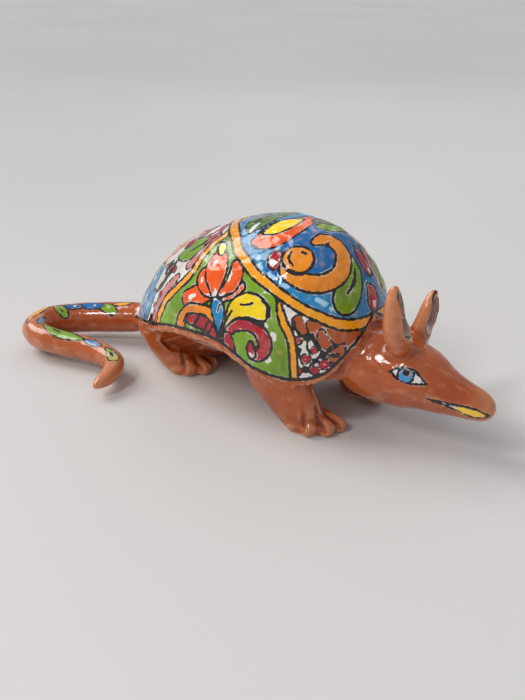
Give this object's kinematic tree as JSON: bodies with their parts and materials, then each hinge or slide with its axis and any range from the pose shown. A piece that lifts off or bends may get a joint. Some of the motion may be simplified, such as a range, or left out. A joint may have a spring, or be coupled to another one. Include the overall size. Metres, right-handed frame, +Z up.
{
  "type": "pottery armadillo figure",
  "caption": "Glazed pottery armadillo: domed shell painted with bold flowers and scrolls, long snout, upright ears, fanned toes and a tail curled round to one side.",
  "frame": {"origin": "on the surface it stands on, under the middle of the whole figure's bounding box", "axes": "+X towards the snout, +Y to the animal's left, +Z up from the soles"},
  "size_m": [0.3206, 0.1418, 0.113],
  "materials": {
    "painted_glaze": "gloss glaze over bright brush-painted flowers, scrolls and bands with black outlines",
    "terracotta_glaze": "gloss glaze over a streaky orange-brown wash"
  },
  "bodies": {
    "root": {"carapace": "painted_glaze", "belly": "terracotta_glaze", "head": "terracotta_glaze", "ear_left": "terracotta_glaze", "ear_right": "terracotta_glaze", "leg_front_left": "terracotta_glaze", "leg_front_right": "terracotta_glaze", "leg_hind_left": "terracotta_glaze", "leg_hind_right": "terracotta_glaze", "tail": "terracotta_glaze"}
  },
  "joints": []
}
